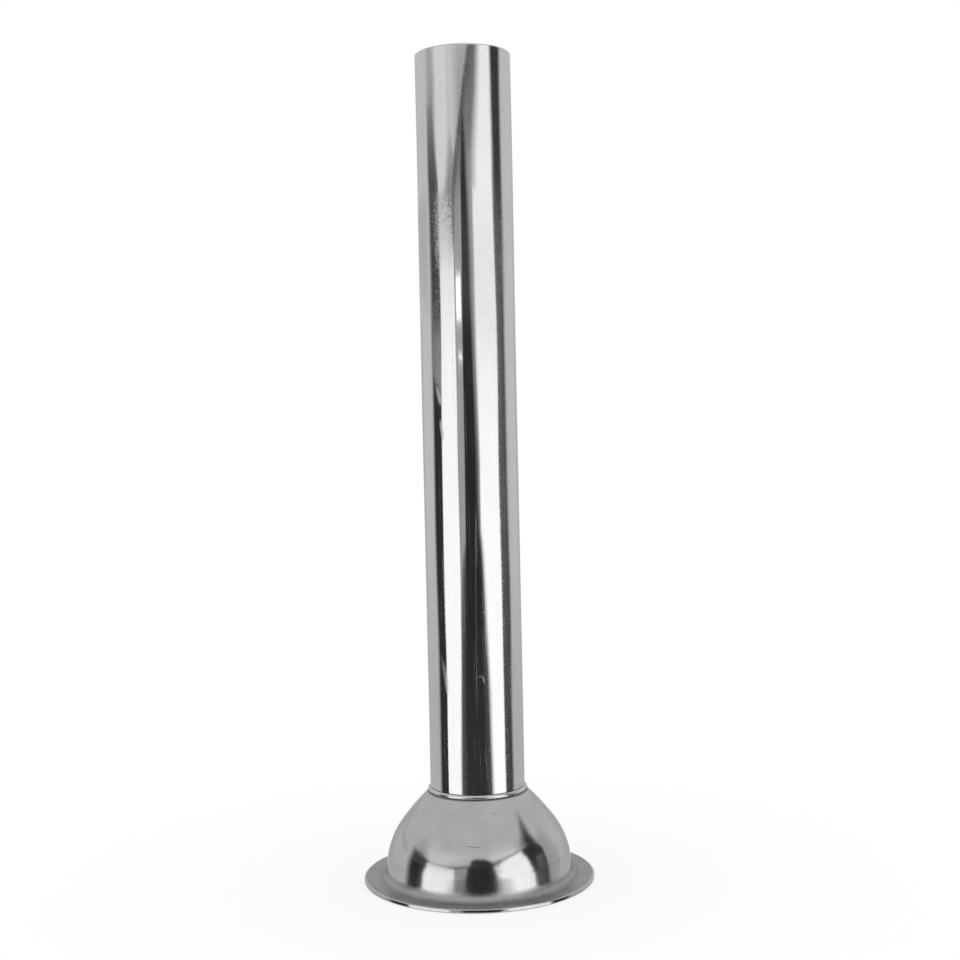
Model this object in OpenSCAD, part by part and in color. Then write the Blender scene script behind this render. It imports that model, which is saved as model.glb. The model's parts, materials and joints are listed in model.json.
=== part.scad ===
// Sausage stuffing tube: a long steel tube locked into the neck of a spun steel bell.
// The bell ends in a flat flange, which a stuffer's ring nut clamps against its outlet.
// The part stands on its flange. The origin is on the tube's axis, in the plane of the
// flange's underside, and +Z runs up the tube to its open tip. Sizes are in millimetres.

/* [Stuffing tube] */
// Outside diameter of the tube, which the sausage casing slides over
tube_od = 22; // [12:0.5:30]
// Wall of the tube
tube_wall = 0.8; // [0.5:0.1:1.5]
// Height of the tip above the flange's underside
overall_h = 190; // [60:1:400]
// Rounding on the tip's two edges
tip_edge_r = 0.3; // [0.1:0.05:0.6]

/* [Bell and flange] */
// Thickness of the sheet that the bell is spun from
sheet_t = 0.9; // [0.5:0.1:1.6]
// Outside diameter of the flange
flange_d = 53.5; // [48:0.5:90]
// Rounding on the two edges of the flange's rim
rim_edge_r = 0.25; // [0.1:0.05:0.6]
// Outside diameter that the bell's lower curve would reach if it ran on until it stood upright
bell_d = 43; // [37:0.5:48]
// Lean of the bell's wall where the lower curve ends and the wall runs straight down to the flange
wall_lean = 9; // [0:1:18]
// Radius of the hollow bend between the flange and the bell's wall
bend_r = 1.8; // [0.8:0.1:4]
// Radius of the bell's lower curve
haunch_r = 18; // [8:0.5:26]
// Lean of the sheet where the lower curve runs into the upper one, as run over rise
haunch_slope = 0.75; // [0.4:0.05:1.1]
// Radius of the bell's upper curve, up to the neck
shoulder_r = 58; // [32:1:200]

/* [Joint at the neck] */
// Radius of the bead on the tube that sits on top of the bell's neck
bead_r = 0.55; // [0.3:0.05:1.2]
// How far the tube's foot flares out under the bell's neck
flare_w = 1.6; // [0.6:0.1:2.6]
// Clearance between the tube and the bell, all round the neck
joint_gap = 0.02; // [0.01:0.01:0.1]

/* [Hidden] */
$fn = 180;

tube_r = tube_od / 2;
bore_r = tube_r - tube_wall;
flange_r = flange_d / 2;
bell_r = bell_d / 2;
neck_r = tube_r + joint_gap;

// A rounded edge leaves a flat land between its two roundings.
largest_edge = 0.45;
tip_edge = min(tip_edge_r, largest_edge * tube_wall);
rim_edge = min(rim_edge_r, largest_edge * sheet_t);

// Neighbouring stretches of the bell's face cross by this much, which joins them at any size.
lap = 0.002;

// Centres of the two arcs of the dome, as [radius, height].
haunch_angle = atan(haunch_slope);
haunch_c = [bell_r - haunch_r, sheet_t + bend_r];
shoulder_c = haunch_c - (shoulder_r - haunch_r + lap) * [cos(haunch_angle), sin(haunch_angle)];

// Outward and upward directions of the straight wall, and the head of its outer face.
wall_out = [cos(wall_lean), sin(wall_lean)];
wall_up = [-sin(wall_lean), cos(wall_lean)];
wall_head = haunch_c + (haunch_r - lap) * wall_out;

// Centre of the hollow bend, which touches the wall and the flange's upper face.
bend_z = sheet_t + bend_r;
bend_c = [wall_head.x + (bend_r - lap + (wall_head.y - bend_z) * wall_out.y) / wall_out.x, bend_z];

// Height and direction of the bell's outer face at the neck.
neck_angle = acos((neck_r - shoulder_c.x) / shoulder_r);
neck_z = shoulder_c.y + shoulder_r * sin(neck_angle);

// Radii, about the shoulder's centre, of the tube's faces that grip the neck.
bead_seat_r = shoulder_r + joint_gap;
flare_seat_r = shoulder_r - sheet_t - joint_gap;
flare_inner_r = flare_seat_r - tube_wall;

// The area that the bell's outer face covers, from the upper curve down to the hollow bend, taken in
// by a depth.
module covered(depth) {
    translate(shoulder_c) intersection() {
        circle(shoulder_r - depth);
        polygon([[0, 0], for (a = [haunch_angle, 90]) 2 * shoulder_r * [cos(a), sin(a)]]);
    }
    translate(haunch_c) circle(haunch_r - depth);
    head = wall_head - depth * wall_out;
    polygon([[0, 0], head - head.y / wall_up.y * wall_up, head, [0, head.y]]);
    difference() {
        translate([0, -depth]) square([bend_c.x, depth + bend_z - (bend_r + depth) * wall_out.y]);
        translate(bend_c) circle(bend_r + depth);
    }
}

// The last stretch of a sheet that ends at x = 0, with both edges rounded.
module sheet_end(thickness, edge_r) {
    translate([-edge_r, edge_r]) {
        square([edge_r, thickness - 2 * edge_r]);
        intersection() {
            circle(edge_r);
            translate([0, -edge_r]) square(edge_r);
        }
    }
    translate([-edge_r, thickness - edge_r]) intersection() {
        circle(edge_r);
        square(edge_r);
    }
}

// Half-section of the bell: flange, hollow bend, straight wall, lower curve and upper curve in
// one sheet, with the hole for the tube punched straight through the neck.
module bell_section() {
    reach = 2 * shoulder_r;
    translate([bend_c.x, 0]) square([flange_r - rim_edge - bend_c.x, sheet_t]);
    translate([flange_r, 0]) sheet_end(sheet_t, rim_edge);
    difference() {
        covered(0);
        covered(sheet_t);
        translate([-reach, 0]) square([reach + neck_r, reach]);
        translate([-reach, -reach]) square([reach + bend_c.x, reach]);
    }
}

// The foot of the tube, spread against the inside of the neck. It follows the bell's curve.
module flare_section() {
    intersection() {
        translate(shoulder_c) circle(flare_seat_r);
        translate([bore_r, 0]) square([tube_wall + flare_w, neck_z]);
    }
}

// The bead rolled on the tube above the neck. Its underside follows the bell's curve.
module bead_section() {
    difference() {
        translate([tube_r, neck_z]) circle(bead_r);
        translate(shoulder_c) circle(bead_seat_r);
    }
}

// Half-section of the tube: wall, rounded tip, bead and flared foot.
module tube_section() {
    difference() {
        union() {
            translate([bore_r, 0]) square([tube_wall, overall_h - tip_edge]);
            translate([tube_r, overall_h]) rotate(90) sheet_end(tube_wall, tip_edge);
            flare_section();
            bead_section();
        }
        translate(shoulder_c) circle(flare_inner_r);
    }
}

module tube() {
    color("gainsboro") rotate_extrude() tube_section();
}

module bell() {
    color("darkgray") rotate_extrude() bell_section();
}

tube();
bell();
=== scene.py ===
import json
import math

import bpy
import mathutils
import numpy as np
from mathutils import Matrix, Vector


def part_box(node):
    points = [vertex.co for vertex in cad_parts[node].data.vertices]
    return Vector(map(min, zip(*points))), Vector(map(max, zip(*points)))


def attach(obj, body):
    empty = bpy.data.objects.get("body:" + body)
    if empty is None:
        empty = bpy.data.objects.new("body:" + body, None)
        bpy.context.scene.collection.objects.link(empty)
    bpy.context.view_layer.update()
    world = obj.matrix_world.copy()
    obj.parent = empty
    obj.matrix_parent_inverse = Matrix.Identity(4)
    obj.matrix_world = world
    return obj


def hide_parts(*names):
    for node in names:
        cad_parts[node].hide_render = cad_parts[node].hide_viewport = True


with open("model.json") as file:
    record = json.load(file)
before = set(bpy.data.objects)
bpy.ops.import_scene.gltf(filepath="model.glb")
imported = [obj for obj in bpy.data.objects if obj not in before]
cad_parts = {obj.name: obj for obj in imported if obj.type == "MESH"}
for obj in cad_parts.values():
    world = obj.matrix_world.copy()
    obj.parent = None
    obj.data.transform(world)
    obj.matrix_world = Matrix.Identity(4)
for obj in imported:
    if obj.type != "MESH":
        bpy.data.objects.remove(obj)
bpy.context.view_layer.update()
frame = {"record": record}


# Bell: the domed cup that the tube stands on, spun from one disc of steel sheet with a flat flange
# left at its edge. The dome has a satin polish over the fine rings of the turning, the flange and the
# inside are left duller, and the neck is punched out to take the tube. Its colour also holds painted
# shade in the bend, on the flange and under the bead, and a painted highlight on the lower wall.
mm = 0.001
mounts = {mount["name"]: mount for mount in frame["record"]["mounts"]}
tube_r = mounts["casing_tube"]["dims"]["r_mm"]
flange_r = mounts["flange_rim"]["dims"]["r_mm"]
sheet = mounts["clamp_face"]["pos_m"][2] / mm
rim_edge = 0.25
bell_r = 21.5
wall_lean = 9.0
bend_r = 1.8
haunch_r = 18.0
haunch_slope = 0.75
haunch_lean = math.degrees(math.atan(haunch_slope))
shoulder_r = 58.0
clearance = 0.02
neck_r = tube_r + clearance


def outward(lean):
    """The direction (r, z) square to a face that leans by that many degrees from upright."""
    return np.array([math.cos(math.radians(lean)), math.sin(math.radians(lean))])


haunch_at = np.array([bell_r - haunch_r, sheet + bend_r])
shoulder_at = haunch_at - (shoulder_r - haunch_r) * outward(haunch_lean)
wall_out = outward(wall_lean)
wall_head = haunch_at + haunch_r * wall_out
bend_out = bend_r + (wall_head[1] - haunch_at[1]) * wall_out[1]
bend_at = np.array([wall_head[0] + bend_out / wall_out[0], sheet + bend_r])


def arc(centre, radius, start, end, count):
    """Points (r, z) round a circle: centre + radius * (cos t, sin t), t from start to end in degrees."""
    turn = np.radians(np.linspace(start, end, count))[:, None]
    return centre + radius * np.concatenate([np.cos(turn), np.sin(turn)], axis=1)


def turn_at(centre, radius, r):
    """The upper angle, in degrees, at which that circle is at distance r from the axis."""
    return math.degrees(math.acos((r - centre[0]) / radius))


def spin(name, stretches, wave=None):
    """A closed section carried round the axis: (r, z) goes to (r sin a, -r cos a, z) for each angle a.

    Each stretch is its points, and 1 on the inside or 0 on the outside. It ends where the next one
    starts, and the outside runs upwards, which turns the faces outwards. wave gives a small change of r
    by angle and height. A ring is a sharp edge where the section turns by more than the sharp turn.
    """
    segments = 240
    sharp_turn = math.radians(30)
    section = np.concatenate([points[:-1] for points, inside in stretches])
    inside = np.concatenate([np.full(len(points) - 1, float(inside)) for points, inside in stretches])
    step = np.roll(section, -1, axis=0) - section
    length = np.hypot(step[:, 0], step[:, 1])
    along = np.cumsum(length) - length
    heading = np.arctan2(step[:, 1], step[:, 0])
    bend = np.abs(np.angle(np.exp(1j * (heading - np.roll(heading, 1)))))

    angle = np.arange(segments) * (2 * np.pi / segments)
    r, z = section[:, :1], section[:, 1:]
    if wave:
        r = r + wave(angle, z)
    r, z, angle = np.broadcast_arrays(r, z, angle)
    points = np.stack([r * np.sin(angle), -r * np.cos(angle), z], axis=-1) * mm
    ring = np.arange(len(section))[:, None] * segments
    spot = np.arange(segments)[None, :]
    above, beside = np.roll(ring, -1, axis=0), np.roll(spot, -1, axis=1)
    faces = np.stack([ring + spot, ring + beside, above + beside, above + spot], axis=-1)

    mesh = bpy.data.meshes.new(name)
    mesh.from_pydata(points.reshape(-1, 3).tolist(), [], faces.reshape(-1, 4).tolist())
    mesh.shade_smooth()
    ends = np.empty(2 * len(mesh.edges), np.int32)
    mesh.edges.foreach_get("vertices", ends)
    ring_of = ends.reshape(-1, 2) // segments
    sharp = (ring_of[:, 0] == ring_of[:, 1]) & (bend > sharp_turn)[ring_of[:, 0]]
    mesh.attributes.new("sharp_edge", "BOOLEAN", "EDGE").data.foreach_set("value", sharp)
    for label, values in {"along": along, "inside": inside}.items():
        mesh.attributes.new(label, "FLOAT", "POINT").data.foreach_set("value", np.repeat(values, segments))
    piece = bpy.data.objects.new(name, mesh)
    bpy.context.scene.collection.objects.link(piece)
    return piece


neck_turn = turn_at(shoulder_at, shoulder_r, neck_r)
under_turn = turn_at(shoulder_at, shoulder_r - sheet, neck_r)
rim_x, rim_top = flange_r - rim_edge, sheet - rim_edge
bell = spin("spun_bell", [
    (np.linspace([bend_at[0], 0], [rim_x, 0], 8), 1),
    (arc([rim_x, rim_edge], rim_edge, -90, 0, 8), 0),
    (np.linspace([flange_r, rim_edge], [flange_r, rim_top], 3), 0),
    (arc([rim_x, rim_top], rim_edge, 0, 90, 8), 0),
    (np.linspace([rim_x, sheet], [bend_at[0], sheet], 10), 0),
    (arc(bend_at, bend_r, 270, 180 + wall_lean, 18), 0),
    (np.linspace(bend_at - bend_r * wall_out, wall_head, 10), 0),
    (arc(haunch_at, haunch_r, wall_lean, haunch_lean, 40), 0),
    (arc(shoulder_at, shoulder_r, haunch_lean, neck_turn, 40), 0),
    (np.linspace([neck_r, arc(shoulder_at, shoulder_r, neck_turn, neck_turn, 1)[0, 1]],
                 [neck_r, arc(shoulder_at, shoulder_r - sheet, under_turn, under_turn, 1)[0, 1]], 4), 1),
    (arc(shoulder_at, shoulder_r - sheet, under_turn, haunch_lean, 24), 1),
    (arc(haunch_at, haunch_r - sheet, haunch_lean, wall_lean, 26), 1),
    (np.linspace(wall_head - sheet * wall_out, bend_at - (bend_r + sheet) * wall_out, 8), 1),
    (arc(bend_at, bend_r + sheet, 180 + wall_lean, 270, 14), 1),
])


class Wire:
    """One socket of a material. Arithmetic on wires adds Math nodes, and node() adds any other node."""

    def __init__(self, tree, socket=None):
        self.tree = tree
        self.socket = socket

    def node(self, kind, settings=None, values=None, output=0):
        """A node of that kind: its settings are set first, then its sockets are set or linked."""
        made = self.tree.nodes.new(kind)
        for name, setting in (settings or {}).items():
            setattr(made, name, setting)
        for name, value in (values or {}).items():
            if isinstance(value, Wire):
                self.tree.links.new(value.socket, made.inputs[name])
            else:
                made.inputs[name].default_value = value
        return Wire(self.tree, made.outputs[output] if made.outputs else None)

    def math(self, operation, *others):
        """A Math node on this wire and the others."""
        return self.node("ShaderNodeMath", {"operation": operation}, dict(enumerate((self, *others))))

    def __add__(self, other):
        return self.math("ADD", other)

    __radd__ = __add__

    def __sub__(self, other):
        return self.math("SUBTRACT", other)

    def __rsub__(self, other):
        return self.node("ShaderNodeMath", {"operation": "SUBTRACT"}, {0: other, 1: self})

    def __mul__(self, other):
        return self.math("MULTIPLY", other)

    __rmul__ = __mul__

    def __truediv__(self, other):
        return self.math("DIVIDE", other)

    def rise(self, low, high):
        """0 at low, 1 at high and a smooth step between them."""
        return self.node("ShaderNodeMapRange", {"interpolation_type": "SMOOTHSTEP"},
                         {"Value": self, "From Min": low, "From Max": high})

    def band(self, start, full, last, end):
        """0 up to start, 1 from full to last, and 0 from end on, with smooth steps between them."""
        return self.rise(start, full) * self.rise(end, last)


def blank(name):
    """An empty material and a bare wire to start its nodes from."""
    material = bpy.data.materials.new(name)
    material.use_nodes = True
    material.node_tree.nodes.clear()
    return material, Wire(material.node_tree)


def read_place(start):
    """The place on a piece in millimetres: the vector, its x, y and z, the angle round the axis in
    degrees, and the distance out from the axis."""
    metres = start.node("ShaderNodeTexCoord", output="Object")
    place = start.node("ShaderNodeVectorMath", {"operation": "SCALE"}, {0: metres, "Scale": 1 / mm})
    x, y, z = (start.node("ShaderNodeSeparateXYZ", {}, {0: place}, axis) for axis in "XYZ")
    angle = x.math("ARCTAN2", y * -1) * (180 / math.pi)
    return place, x, y, z, angle, (x * x + y * y).math("SQRT")


def read(start, label):
    """A value that the mesh holds at its points."""
    return start.node("ShaderNodeAttribute", {"attribute_name": label}, {}, "Fac")


def clouds(x, y, z, detail=2.0):
    """Soft noise from 0 to 1 over three wires, each already divided by the size of its features."""
    vector = x.node("ShaderNodeCombineXYZ", {}, {0: x, 1: y, 2: z})
    return x.node("ShaderNodeTexNoise", {}, {"Vector": vector, "Scale": 1.0, "Detail": detail}, "Fac")


def grey(value):
    """A neutral colour whose red, green and blue are that value."""
    return value.node("ShaderNodeCombineColor", {}, {0: value, 1: value, 2: value})


def scratches(u, v, lines):
    """Straight marks on a surface laid flat in millimetres. A line gives its two ends, its width and its
    strength, and its mark falls smoothly to 0 at half the width from the line and towards both ends."""
    total = 0
    for (u0, v0), (u1, v1), width, strength in lines:
        length = math.hypot(u1 - u0, v1 - v0)
        du, dv = (u1 - u0) / length, (v1 - v0) / length
        run = ((u - u0) * du + (v - v0) * dv) / length
        off = ((v - v0) * du - (u - u0) * dv).math("ABSOLUTE")
        total = total + off.rise(width / 2, 0.0) * run.band(-0.05, 0.35, 0.65, 1.05) * strength
    return total


dome_shade = 0.65
dome_rough = 0.115
satin, start = blank("satin_steel")
place, x, y, z, angle, out = read_place(start)
along = read(start, "along")
inside = read(start, "inside")
around = angle * (math.pi / 180) * out
# Where on the bell: the hollow bend, the top of the flange, its rim, the lower wall, the dome round the
# neck and the narrow gap under the bead, where the colour is darkened as painted shade.
bend = z.rise(3.35, 1.9)
flat = z.rise(1.7, 0.95)
rim = out.rise(flange_r - 0.45, flange_r - 0.15)
low = z.rise(8.5, 3.0)
near_neck = out.rise(17.0, 11.5)
painted_gap_shade = out.rise(tube_r + 0.82, tube_r + 0.58) * z.rise(15, 17)
# What breaks up the polish: the rings of the turning, upright streaks, cloudy patches, pits and scratches.
rings = clouds(along / 0.24, x / 2.6, y / 2.6, 3.0)
streaks = clouds(angle / 1.3, z / 7, angle / 90, 2.0)
patches = clouds(x / 5, y / 5, z / 3, 3.0)
pits = start.node("ShaderNodeTexVoronoi", {}, {"Vector": place, "Scale": 0.55}, "Distance").rise(0.10, 0.05)
marks = scratches(around, z, [
    ((-3.9, 12.45), (1.4, 12.0), 0.36, 1.0), ((2.9, 18.5), (4.2, 17.8), 0.36, 1.0)])
shade = dome_shade + (patches - 0.5) * 0.17 + (rings - 0.5) * (0.08 + near_neck * 0.20)
# Painted light in the colour: the lower wall is lightened as a painted highlight, and the hollow bend and
# the top of the flange are darkened, partly for their duller finish and partly as painted shade.
shade = shade + (streaks - 0.5) * low * 0.12 + (low * 0.06 - flat * 0.17 - bend * 0.18) * (1 - rim)
shade = shade - inside * 0.06 - marks * 0.28 - pits * (0.12 + near_neck * 0.15)
# Painted shade: the colour is darkened in the narrow gap round the foot of the bead.
shade = shade * (1 - painted_gap_shade * 0.75)
rough = dome_rough + (rings - 0.5) * 0.06 + (patches - 0.5) * 0.05 + (streaks - 0.5) * low * 0.08
rough = rough + low * 0.03 + near_neck * 0.06 + bend * (0.30 - rim * 0.34) + inside * 0.18 + marks * 0.2
relief = rings * (0.5 + low * 0.3)
bumps = start.node("ShaderNodeBump", {}, {"Strength": 0.10, "Distance": 0.05 * mm, "Height": relief})
skin = start.node("ShaderNodeBsdfPrincipled", {}, {
    "Base Color": grey(shade), "Metallic": 1.0, "Roughness": rough, "Normal": bumps})
start.node("ShaderNodeOutputMaterial", {}, {"Surface": skin})
bell.data.materials.append(satin)
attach(bell, "root")
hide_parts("bell")


# Tube: a straight drawn steel tube, mirror polished outside and open at both ends. It is pushed through
# the bell's neck and locked there for good by a rolled bead above the sheet and by its foot, which is
# spread out below it. Fine scratches, pits and a worn patch break up the polish.
bore_r = mounts["filling_bore"]["dims"]["r_mm"]
wall = tube_r - bore_r
tip_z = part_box("tube")[1].z / mm
tip_edge = 0.3
tip_band = 0.1
bead_r = 0.55
flare_w = 1.6
flare_r = tube_r + flare_w

neck_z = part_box("bell")[1].z / mm
bead_seat_r = shoulder_r + clearance
flare_seat_r = shoulder_r - sheet - clearance
flare_under_r = flare_seat_r - wall
bead_at = np.array([tube_r, neck_z])


def crossing(centre_a, radius_a, centre_b, radius_b):
    """The point where two circles cross that lies further out from the axis."""
    gap = centre_b - centre_a
    apart = math.hypot(*gap)
    reach = (apart ** 2 + radius_a ** 2 - radius_b ** 2) / (2 * apart)
    side = math.sqrt(radius_a ** 2 - reach ** 2)
    across = np.array([-gap[1], gap[0]]) / apart
    spots = [centre_a + gap / apart * reach + way * across * side for way in (1, -1)]
    return max(spots, key=lambda spot: spot[0])


def direction(centre, point):
    """The angle in degrees from a centre to a point."""
    return math.degrees(math.atan2(point[1] - centre[1], point[0] - centre[0]))


def out_of_round(angle, z):
    """How far the drawn wall strays from a true circle: three slow waves that fade out at the neck."""
    fade = np.clip((z - neck_z - 2) / 20, 0, 1)
    stray = 0.030 * np.sin(3 * angle + z / 19 + 0.7)
    stray = stray + 0.012 * np.sin(5 * angle - z / 11 + 2.1)
    stray = stray + 0.006 * np.sin(7 * angle + z / 7 + 4.0)
    return stray * fade ** 2 * (3 - 2 * fade)


bead_edge = crossing(shoulder_at, bead_seat_r, bead_at, bead_r)
foot_out = turn_at(shoulder_at, flare_seat_r, flare_r)
foot_in = turn_at(shoulder_at, flare_under_r, flare_r)
neck_low = arc(shoulder_at, flare_seat_r, 0, turn_at(shoulder_at, flare_seat_r, tube_r), 2)[1]
neck_high = arc(shoulder_at, bead_seat_r, 0, turn_at(shoulder_at, bead_seat_r, tube_r), 2)[1]
bore_low = arc(shoulder_at, flare_under_r, 0, turn_at(shoulder_at, flare_under_r, bore_r), 2)[1]
tip_low = tip_z - tip_edge
band_low = tip_low - tip_band
tube = spin("stuffing_tube", [
    (arc(shoulder_at, flare_seat_r, foot_out, direction(shoulder_at, neck_low), 10), 1),
    (np.linspace(neck_low, neck_high, 4), 0),
    (arc(shoulder_at, bead_seat_r, direction(shoulder_at, neck_high),
         direction(shoulder_at, bead_edge), 4), 0),
    (arc(bead_at, bead_r, direction(bead_at, bead_edge), 90, 16), 0),
    (np.linspace([tube_r, neck_z + bead_r], [tube_r, band_low], 150), 0),
    (np.linspace([tube_r, band_low], [tube_r, tip_low], 3), 0),
    (arc([tube_r - tip_edge, tip_low], tip_edge, 0, 90, 8), 0),
    (np.linspace([tube_r - tip_edge, tip_z], [bore_r + tip_edge, tip_z], 3), 0),
    (arc([bore_r + tip_edge, tip_low], tip_edge, 90, 180, 8), 0),
    (np.linspace([bore_r, tip_low], bore_low, 90), 1),
    (arc(shoulder_at, flare_under_r, direction(shoulder_at, bore_low), foot_in, 10), 1),
    (np.linspace(arc(shoulder_at, flare_under_r, 0, foot_in, 2)[1],
                 arc(shoulder_at, flare_seat_r, 0, foot_out, 2)[1], 4), 1),
], out_of_round)

mirror_shade = 0.82
mirror_rough = 0.045
polished, start = blank("polished_steel")
place, x, y, z, angle, out = read_place(start)
inside = read(start, "inside")
around = angle * (math.pi / 180) * tube_r
# Where on the tube: the gap under the bead and the corner above it, both darkened as painted shade, and the
# bead itself.
bead_top = neck_z + bead_r
painted_gap_shade = z.rise(bead_edge[1] + 0.20, bead_edge[1] + 0.02) * out.rise(tube_r + 0.3, tube_r + 0.45)
corner = (z - bead_top).math("ABSOLUTE").rise(0.22, 0.06) * out.rise(tube_r + 0.25, tube_r + 0.10)
on_bead = out.rise(tube_r + 0.12, tube_r + 0.25) * z.rise(neck_z + 2, neck_z + 1)
# What breaks up the polish: drawing lines, fine grain, cloudy patches, slanting wipe marks and pits.
hairlines = clouds(x / 0.24, y / 0.24, z / 26, 2.0)
grain = clouds(x / 0.30, y / 0.30, z / 0.36, 2.0)
patches = clouds(x / 4, y / 4, z / 9, 2.0)
diagonal = clouds((around + z) / 0.18, (around - z) / 1.6, z / 30, 2.0)
specks = start.node("ShaderNodeTexVoronoi", {}, {"Vector": place, "Scale": 0.9}, "Distance")
specks = specks.rise(0.15, 0.05)
# Where it is worn, frosted towards the tip, hazy in one upright stripe, or scratched.
worn = angle.band(-44, -36, -19, -13) * z.band(139, 146, 152, 159)
worn = worn + angle.band(-56, -48, -37, -32) * z.band(122, 132, 154, 162) * 0.7
worn = worn + angle.band(36, 46, 58, 68) * z.band(130, 140, 148, 160) * 0.6
frosted = 0.30 + z.rise(60, 150) * 0.20 + z.rise(150, 185) * 0.30
hazy = angle.band(33, 37, 49, 54) * (0.45 + z.rise(50, 80) * 0.35 - z.rise(148, 168) * 0.35)
marks = scratches(around, z, [
    ((0.2, 48.4), (1.8, 48.8), 0.50, 1.0), ((1.6, 49.2), (2.0, 46.9), 0.80, 1.0),
    ((0.73, 90.0), (0.15, 32.0), 0.36, 1.0), ((0.90, 88.5), (0.83, 71.0), 0.55, 0.9),
    ((-0.2, 60.0), (0.0, 38.0), 0.30, 0.8), ((-8.5, 54.0), (-6.3, 43.5), 2.2, 0.8),
    ((0.5, 38.0), (0.9, 23.0), 0.35, 0.7), ((2.0, 34.0), (2.5, 22.5), 1.1, 0.35),
    ((3.3, 42.0), (3.4, 29.0), 0.30, 0.6), ((-8.1, 115.0), (-7.0, 109.5), 1.7, 1.3),
    ((-7.3, 107.0), (-6.4, 101.5), 1.3, 1.2)])
frost = grain.rise(0.45, 0.80) * frosted * 0.35 + diagonal.rise(0.40, 0.66) * worn * (0.5 + patches * 0.6)
frost = frost + grain.rise(0.30, 0.80) * hazy * 0.8 + grain.rise(0.57, 0.80) * z.rise(90, 50) * 0.8
frost = frost + hairlines.rise(0.56, 0.74) * (0.8 - z.rise(110, 140) * 0.5)
frost = frost + specks * patches * 0.8 + marks * 1.1
rough = mirror_rough + frost * 0.26 + worn * 0.03 + on_bead * 0.12 + inside * 0.22
shade = mirror_shade + (patches - 0.5) * 0.05 - grain.rise(0.40, 0.75) * frosted * 0.14
shade = shade - frost * 0.03 - inside * 0.2
# Painted shade: the colour is darkened in the gap under the bead and in the corner above it.
shade = shade * (1 - painted_gap_shade * 0.65) * (1 - corner * 0.6)
relief = hairlines * 0.3 + grain * 0.7
bumps = start.node("ShaderNodeBump", {}, {"Strength": 0.04, "Distance": 0.02 * mm, "Height": relief})
skin = start.node("ShaderNodeBsdfPrincipled", {}, {
    "Base Color": grey(shade), "Metallic": 1.0, "Roughness": rough, "Normal": bumps})
start.node("ShaderNodeOutputMaterial", {}, {"Surface": skin})
tube.data.materials.append(polished)
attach(tube, "root")
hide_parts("tube")


# Floor: a plain white sweep that the part stands on. Close to the part it takes a soft shadow, and
# further out it runs into the white of the backdrop.
def sheet_mesh(name, grid):
    """A surface through a grid of points, rows by columns, with one face in each cell."""
    rows, columns = grid.shape[:2]
    corner = (np.arange(rows - 1)[:, None] * columns + np.arange(columns - 1)[None, :]).ravel()
    faces = corner[:, None] + np.array([0, 1, columns + 1, columns])
    mesh = bpy.data.meshes.new(name)
    mesh.from_pydata(grid.reshape(-1, 3).tolist(), [], faces.tolist())
    thing = bpy.data.objects.new(name, mesh)
    bpy.context.scene.collection.objects.link(thing)
    return thing


floor_half = 6.0
near_glow = 0.6
floor_line = np.linspace(-floor_half, floor_half, 3)
floor_x, floor_y = np.meshgrid(floor_line, floor_line)
floor = sheet_mesh("floor", np.stack([floor_x, floor_y, 0 * floor_x], axis=-1))
floor.visible_glossy = False
white, start = blank("white_sweep")
far = read_place(start)[-1].rise(40, 130)
matt = start.node("ShaderNodeBsdfDiffuse", {}, {"Color": (0.98, 0.98, 0.98, 1.0)})
glow = start.node("ShaderNodeEmission", {}, {"Color": (1.0, 1.0, 1.0, 1.0), "Strength": 1.0})
ground = start.node("ShaderNodeMixShader", {}, {0: near_glow + far * (1 - near_glow), 1: matt, 2: glow})
start.node("ShaderNodeOutputMaterial", {}, {"Surface": ground})
floor.data.materials.append(white)


# Camera: where the photograph's outlines put it, a little above half the part's height, with a slight
# downward tilt and roll.
camera_distance = 0.334533
camera_height = 0.104011
camera_pitch = 0.034226
camera_yaw = 0.006098
camera_roll = -0.020958
sensor = 36.0
lens = 54.198

view_way = np.array([math.sin(camera_yaw) * math.cos(camera_pitch),
                     math.cos(camera_yaw) * math.cos(camera_pitch), -math.sin(camera_pitch)])
level_right = np.cross(view_way, [0, 0, 1])
level_right = level_right / np.linalg.norm(level_right)
level_up = np.cross(level_right, view_way)
image_right = level_right * math.cos(camera_roll) + level_up * math.sin(camera_roll)
image_up = level_up * math.cos(camera_roll) - level_right * math.sin(camera_roll)
camera_data = bpy.data.cameras.new("camera")
camera_data.sensor_width = sensor
camera_data.lens = lens
camera_data.clip_start = 0.01
camera = bpy.data.objects.new("camera", camera_data)
turned = mathutils.Matrix(np.stack([image_right, image_up, -view_way], axis=1).tolist()).to_4x4()
turned.translation = (0, -camera_distance, camera_height)
camera.matrix_world = turned
bpy.context.scene.collection.objects.link(camera)
bpy.context.scene.camera = camera


# Studio: a light tent with two soft boxes, dark flags beside them and the dark shape of the camera in
# front, all placed where the photograph's reflections put them. Only the metal mirrors the cards, and
# those that lie along a sight line of the tube are mirrored by the bell alone.
card_light, start = blank("card_light")
lit = start.node("ShaderNodeEmission", {}, {"Color": grey(read(start, "glow")), "Strength": 1.0})
clear = start.node("ShaderNodeBsdfTransparent")
card_mix = start.node("ShaderNodeMixShader", {}, {0: read(start, "cover"), 1: clear, 2: lit})
start.node("ShaderNodeOutputMaterial", {}, {"Surface": card_mix})


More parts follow.
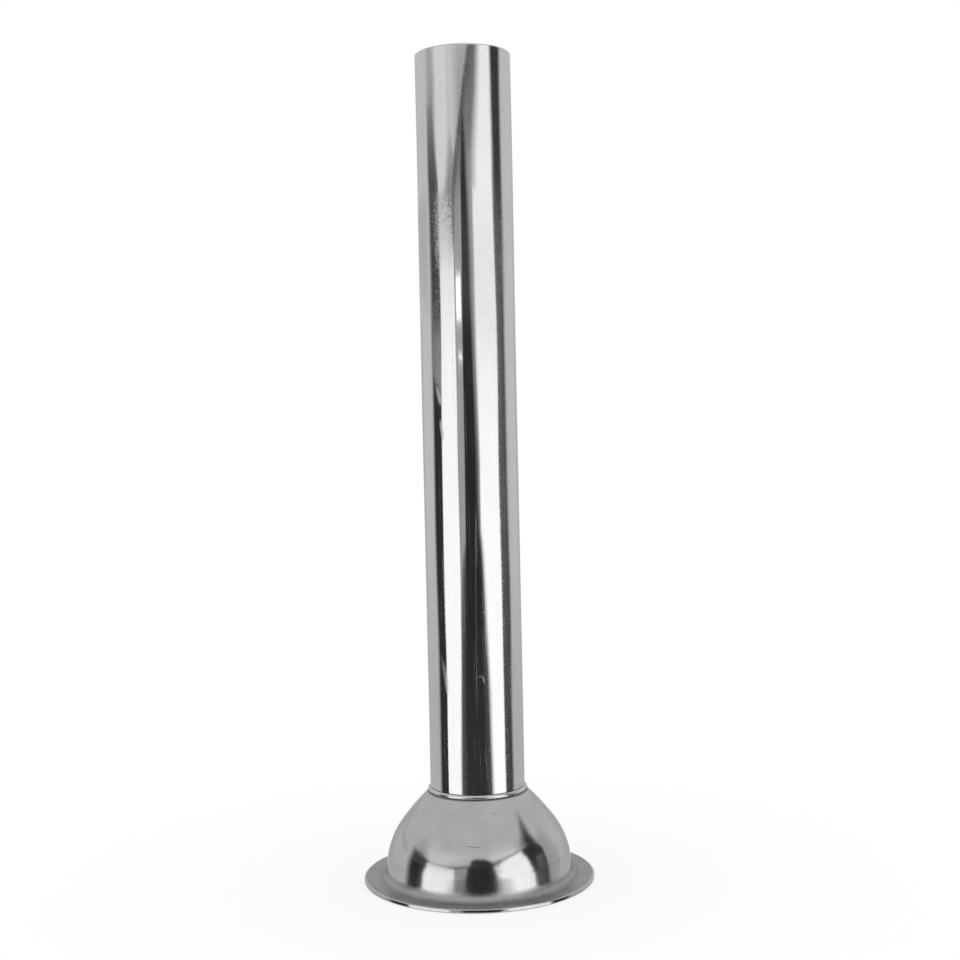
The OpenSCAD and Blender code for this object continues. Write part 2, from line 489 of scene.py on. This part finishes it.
def card(name, distance, rows, feather=(1.0, 1.0)):
    """A card bent round the part, made of strips. A row gives a strip's two ends, each as the bearing in
    degrees to the right of the camera and the height in metres, and then the strip's brightness.

    Bearing b, height h and distance d go to (d sin b, -d cos b, h), and between rows all of these run
    evenly. The card fades in over feather degrees at each end of its strips.
    """
    rows = np.array(rows, float)
    marks = np.arange(len(rows))
    fine = np.linspace(0, len(rows) - 1, 10 * (len(rows) - 1) + 1)
    columns = [np.interp(fine, marks, column)[:, None] for column in rows.T]
    bearing_a, height_a, bearing_b, height_b, glow = columns
    away = np.interp(fine, marks, np.broadcast_to(distance, len(rows)))[:, None]
    span = np.hypot(bearing_b - bearing_a, np.degrees((height_b - height_a) / np.mean(distance)))
    first = np.minimum(feather[0] / span, 0.49)
    last = 1 - np.minimum(feather[1] / span, 0.49)
    middle = first + (last - first) * np.linspace(0, 1, 40)
    share = np.concatenate([0 * first, middle, 0 * last + 1], axis=1)
    cover = np.ones_like(share)
    cover[:, [0, -1]] = 0
    bearing = np.radians(bearing_a + (bearing_b - bearing_a) * share)
    height = height_a + (height_b - height_a) * share
    thing = sheet_mesh(name, np.stack([away * np.sin(bearing), -away * np.cos(bearing), height], axis=-1))
    for label, values in {"glow": np.broadcast_to(glow, share.shape), "cover": cover}.items():
        thing.data.attributes.new(label, "FLOAT", "POINT").data.foreach_set("value", values.ravel())
    thing.data.materials.append(card_light)
    thing.visible_camera = False
    thing.visible_diffuse = False
    thing.visible_transmission = False
    thing.visible_shadow = False


def sight_card(name, z, rows, feather):
    """A card along the line that runs from the camera to the tube at height z and on from its mirror, so
    the tube has it edge on and only the bell shows it. A row gives a strip's distance, its two bearings
    and its brightness.

    The height goes on with the slope of the line: z + (d - r) * (z - camera height) / (camera
    distance - r), where d is the strip's distance and r the tube's radius.
    """
    distance, bearing_a, bearing_b, glow = np.array(rows, float).T
    slope = (z - camera_height) / (camera_distance - tube_r * mm)
    height = z + (distance - tube_r * mm) * slope
    card(name, distance, np.stack([bearing_a, height, bearing_b, height, glow], axis=1), feather)


# The tent, its soft boxes and the dark frame at one of them.
tent_r = 2.5
tent_turn = np.radians(np.linspace(-90, 90, 19))
tent_height = tent_r * np.sin(tent_turn)
tent_glow = np.where(tent_turn > -0.1, 0.60, 0.50)
card("tent", tent_r * np.cos(tent_turn), [
    (-180, height, 180, height, glow) for height, glow in zip(tent_height, tent_glow)], (0.01, 0.01))
card("soft_box_left", 1.15, [
    (-76, -0.60, -29, -0.60, 1.18), (-74, -0.27, -29, -0.27, 1.18), (-72, 0.00, -29.5, 0.00, 1.18),
    (-69.5, 0.155, -30, 0.155, 1.13), (-69, 0.196, -30, 0.196, 1.09), (-68.5, 0.236, -30, 0.236, 1.01),
    (-68.5, 0.266, -30, 0.266, 0.95), (-68.5, 0.284, -30, 0.284, 0.84), (-68.5, 0.300, -30, 0.300, 0.74),
    (-68.5, 0.314, -30, 0.314, 0.66)])
card("frame_left", 1.13, [(-31, -0.10, -29.4, -0.10, 0.22), (-31, 0.31, -29.4, 0.31, 0.22)], (0.5, 0.5))
card("soft_box_right", 1.15, [
    (17.5, -0.60, 76, -0.60, 1.22), (17.5, -0.27, 74, -0.27, 1.22), (17.5, -0.10, 72.5, -0.10, 1.22),
    (17, 0.05, 71, 0.05, 1.18), (16, 0.155, 72, 0.155, 1.12), (15.7, 0.21, 72.5, 0.21, 1.00),
    (15.5, 0.27, 71.5, 0.27, 0.95), (15.2, 0.31, 69, 0.31, 1.00),
    (15, 0.356, 66.5, 0.356, 1.05)], (5.0, 1.0))
sight_card("box_edge_low", 0.095, [(0.33, 24.5, 66, 1.29), (1.10, 27, 67.5, 1.27)], (3.0, 2.0))
sight_card("box_edge_mid", 0.140, [(0.50, 25, 62.5, 1.30), (1.10, 23.5, 65.5, 1.30)], (2.5, 2.0))
sight_card("box_edge_high", 0.175, [
    (0.56, 54, 59, 1.25), (0.62, 43, 60, 1.30), (0.75, 33, 61, 1.30), (1.10, 25, 63, 1.30)], (2.5, 2.0))
card("soft_box_top", 1.15, [
    (13.5, 0.355, 66.5, 0.355, 1.05), (13, 0.386, 66, 0.386, 1.04), (16, 0.406, 65.5, 0.43, 1.02),
    (19, 0.426, 65, 0.46, 1.0), (22.5, 0.446, 64.5, 0.49, 1.0), (25.5, 0.466, 64.5, 0.52, 1.0),
    (28, 0.49, 64, 0.55, 1.0), (32, 0.53, 62.5, 0.59, 1.02), (57, 0.64, 59, 0.66, 1.06)], (20.0, 1.0))
# The dark flags beside the boxes, and the dim halos behind them.
card("flag_left", 1.14, [
    (-104, -0.60, -73, -0.60, 0.03), (-102.5, -0.27, -72.5, -0.27, 0.03),
    (-102.5, -0.10, -72, -0.10, 0.03), (-102.5, 0.05, -71.5, 0.05, 0.03),
    (-102.5, 0.155, -69.5, 0.155, 0.03), (-102.5, 0.290, -69, 0.290, 0.05),
    (-102.5, 0.320, -67, 0.320, 0.06), (-102.5, 0.346, -66, 0.346, 0.08),
    (-102.5, 0.366, -70, 0.366, 0.11), (-102.5, 0.386, -74, 0.386, 0.15),
    (-102.5, 0.406, -77, 0.406, 0.20), (-102.5, 0.430, -80, 0.430, 0.28)], (9.0, 2.0))
card("flag_fade", 1.145, [
    (-102.5, 0.35, -64, 0.35, 0.14), (-102.5, 0.39, -67, 0.39, 0.24), (-102.5, 0.42, -68, 0.42, 0.32),
    (-102.5, 0.45, -66, 0.45, 0.40), (-102.5, 0.50, -68, 0.50, 0.46),
    (-102.5, 0.80, -74, 0.80, 0.55)], (12.0, 14.0))
card("flag_right", 1.14, [
    (72, -0.60, 102, -0.60, 0.04), (72, -0.27, 102, -0.27, 0.04), (69.5, -0.10, 102, -0.10, 0.04),
    (68.5, 0.05, 102, 0.05, 0.045), (71.5, 0.155, 102, 0.155, 0.05), (72.5, 0.23, 102, 0.23, 0.05),
    (71, 0.29, 102, 0.29, 0.05), (66.5, 0.47, 100.5, 0.47, 0.04), (64, 0.53, 100, 0.53, 0.04)], (4.0, 9.0))
card("flag_haze", 1.13, [
    (56, 0.50, 96, 0.50, 0.04), (59, 0.66, 96, 0.66, 0.04), (60, 0.85, 97, 0.85, 0.05),
    (66, 1.00, 99, 1.02, 0.08), (72, 1.12, 102, 1.13, 0.18), (80, 1.20, 103, 1.21, 0.42)], (24.0, 9.0))
sight_card("halo_under", 0.050, [(0.30, 92, 124, 0.40), (1.10, 92, 124, 0.40)], (1.0, 27.0))
sight_card("halo_low", 0.080, [(0.34, 92, 122, 0.44), (1.00, 92, 122, 0.41)], (1.0, 25.0))
sight_card("halo_mid", 0.110, [(0.30, 92, 118, 0.47), (0.80, 92, 120, 0.45)], (1.0, 23.0))
sight_card("halo_high", 0.175, [(0.45, 92, 116, 0.47), (1.10, 92, 118, 0.47)], (1.0, 20.0))
sight_card("flag_edge_low", 0.080, [(0.30, 66, 77, 0.05), (1.00, 66, 77, 0.05)], (3.0, 2.0))
sight_card("flag_edge_mid", 0.110, [(0.30, 62.5, 77, 0.03), (1.10, 66.5, 77, 0.03)], (2.0, 2.0))
sight_card("flag_edge_high", 0.175, [(0.45, 60.5, 77, 0.03), (1.10, 62.5, 77, 0.03)], (2.5, 2.0))
card("flag_glow", 1.13, [
    (72, -0.27, 96, -0.27, 0.07), (69, 0.00, 96, 0.00, 0.10), (72, 0.19, 96, 0.19, 0.13),
    (72, 0.25, 96, 0.25, 0.14), (70, 0.30, 96, 0.30, 0.11), (68, 0.36, 96, 0.36, 0.04)], (4.0, 12.0))
card("flag_patch", [0.70, 0.73, 1.05, 1.13], [
    (-97, 0.1447, -70, 0.1259, 0.12), (-97, 0.1507, -70, 0.1314, 0.29), (-97, 0.1967, -71, 0.1967, 0.25),
    (-97, 0.2177, -72, 0.2177, 0.08)], (5.0, 1.0))
# A dark rod that crosses over the front, and the grey walls above and between the boxes.
card("dark_rod", 1.12, [
    (-73, 0.302, -73, 0.338, 0.18), (-60, 0.300, -60, 0.335, 0.20), (-45, 0.295, -45, 0.336, 0.20),
    (-34, 0.284, -34, 0.344, 0.20), (-29, 0.278, -29, 0.360, 0.18), (-27, 0.328, -27, 0.372, 0.13),
    (-20, 0.356, -20, 0.395, 0.10), (-13, 0.381, -13, 0.418, 0.08), (-6, 0.400, -6, 0.437, 0.06),
    (0, 0.418, 0, 0.456, 0.07), (6, 0.431, 6, 0.471, 0.09), (13, 0.440, 13, 0.490, 0.12),
    (20, 0.450, 20, 0.500, 0.15), (26, 0.475, 26, 0.550, 0.12), (30, 0.520, 30, 0.570, 0.06),
    (34, 0.545, 34, 0.585, 0.06), (43, 0.590, 43, 0.630, 0.06), (53, 0.618, 53, 0.658, 0.08),
    (61, 0.655, 61, 0.690, 0.10)], (1.0, 0.5))
card("wall_side", 1.60, [
    (-178, 0.25, -106, 0.25, 0.60), (-178, 0.30, -106, 0.30, 0.50), (-178, 0.39, -106, 0.39, 0.49),
    (-178, 0.43, -106, 0.43, 0.60)], (6.0, 4.0))
card("wall_centre", 1.28, [
    (-42, 0.40, 44, 0.44, 0.45), (-42, 0.50, 44, 0.50, 0.45), (-42, 0.56, 44, 0.56, 0.55)], (24.0, 10.0))
card("wall_left", 1.30, [
    (-66, 0.345, -8, 0.37, 0.76), (-78, 0.41, -8, 0.43, 0.76), (-83, 0.50, -8, 0.50, 0.76),
    (-83, 0.75, -8, 0.75, 0.72), (-83, 1.0, -8, 1.0, 0.60)], (6.0, 34.0))
card("wall_shade", 1.25, [
    (-62, 0.325, -14, 0.325, 0.25), (-58, 0.352, -13, 0.352, 0.28), (-50, 0.375, -12, 0.385, 0.30),
    (-46, 0.395, -10, 0.415, 0.38), (-40, 0.42, -8, 0.45, 0.55)], (11.0, 4.0))
card("wall_right", 1.30, [
    (8, 0.62, 58, 0.80, 0.84), (8, 1.0, 58, 1.1, 0.70), (8, 1.5, 58, 1.5, 0.60)], (12.0, 5.0))
card("strip_centre", 1.20, [
    (-30.5, -0.40, 20, -0.40, 0.38), (-30.5, 0.20, 20, 0.20, 0.38), (-30.5, 0.300, 26, 0.370, 0.38),
    (-30.5, 0.335, 30, 0.420, 0.33), (-30.5, 0.350, 36, 0.470, 0.22), (-30.5, 0.370, 40, 0.550, 0.18)])
# A bright window with its sill, and the dark shape of the camera and its sides.
card("window", [0.680, 0.914], [
    (-28, 0.1776, -14.5, 0.1776, 1.45), (-27.5, 0.2366, -15, 0.2366, 1.45)], (0.7, 0.7))
card("window_sill", [0.561, 0.575], [
    (-24, 0.1440, -14.5, 0.1440, 1.7), (-28, 0.1478, -14.5, 0.1478, 1.7)], (1.0, 0.6))
card("camera_shape", 0.46, [
    (-18, -0.20, 29, -0.20, 0.025), (-18, 0.004, 29, 0.004, 0.025), (-17.5, 0.025, 26, 0.025, 0.025),
    (-17, 0.046, 23.5, 0.046, 0.025), (-16.5, 0.068, 20, 0.068, 0.025), (-16.2, 0.089, 19, 0.089, 0.025),
    (-16.2, 0.106, 18, 0.106, 0.025), (-15.5, 0.131, 17, 0.131, 0.025), (-14, 0.153, 16.5, 0.153, 0.03),
    (-13, 0.175, 14, 0.175, 0.06), (-12.5, 0.214, 12, 0.214, 0.05), (-11.5, 0.238, 10, 0.238, 0.035),
    (-9.5, 0.252, 7, 0.252, 0.035), (-6.5, 0.266, 4, 0.266, 0.04),
    (-3, 0.274, 0, 0.274, 0.04)], (2.0, 10.0))
sight_card("camera_top", 0.1753, [
    (0.49, 0, 10, 0.03), (0.56, 0, 15, 0.03), (0.75, 0, 20, 0.03)], (3.0, 6.0))
sight_card("camera_side_high", 0.140, [
    (0.36, -5, 17, 0.03), (0.45, -5, 19.5, 0.03), (0.60, -5, 20.5, 0.03), (1.10, -5, 22, 0.03)], (2.0, 5.0))
sight_card("camera_side_low", 0.095, [
    (0.33, -5, 22, 0.03), (0.50, -5, 23.5, 0.03), (1.10, -5, 25.5, 0.03)], (2.0, 6.0))
# The dark table in front, and the wall behind the part with a lit strip on it.
table_far = [0.049, 0.068, 0.073, 0.14, 0.21, 0.31, 0.45, 0.85, 1.08]
card("dark_table", table_far, [
    (-14, -0.001, 21, -0.001, 0.10), (-18, -0.001, 27, -0.001, 0.10), (-39, -0.001, 41, -0.001, 0.10),
    (-39, -0.001, 41, -0.001, 0.10), (-36.5, -0.001, 40, -0.001, 0.10), (-33.5, -0.001, 38, -0.001, 0.10),
    (-31, -0.001, 35, -0.001, 0.10), (-27, -0.001, 30, -0.001, 0.10), (-18, -0.001, 26, -0.001, 0.10)],
    (5.0, 9.0))
card("table_core", table_far, [
    (-12, 0, 17, 0, 0.03), (-15, 0, 22, 0, 0.03), (-33, 0, 34, 0, 0.035), (-33, 0, 34, 0, 0.035),
    (-30, 0, 33, 0, 0.03), (-28, 0, 31, 0, 0.03), (-26, 0, 28, 0, 0.025), (-22, 0, 24, 0, 0.025),
    (-15, 0, 20, 0, 0.025)], (11.0, 14.0))
card("wall_behind", 2.25, [
    (136, -1.05, 224, -1.05, 0.48), (136, 0.00, 224, 0.00, 0.47), (136, 0.45, 224, 0.45, 0.50),
    (136, 0.80, 224, 0.80, 0.58), (136, 1.05, 224, 1.05, 0.60)], (16.0, 16.0))
card("strip_behind", 2.20, [
    (166, -1.05, 194, -1.05, 0.48), (166, -0.45, 194, -0.45, 1.0), (166, 0.75, 194, 0.75, 1.0),
    (166, 1.05, 194, 1.05, 0.60)], (3.0, 3.0))

# The white backdrop, which also lights the floor.
world = bpy.data.worlds.new("white_studio")
world.use_nodes = True
world.node_tree.nodes["Background"].inputs["Color"].default_value = (1.0, 1.0, 1.0, 1.0)
world.node_tree.nodes["Background"].inputs["Strength"].default_value = 1.0
bpy.context.scene.world = world
bpy.context.scene.view_settings.view_transform = "Standard"
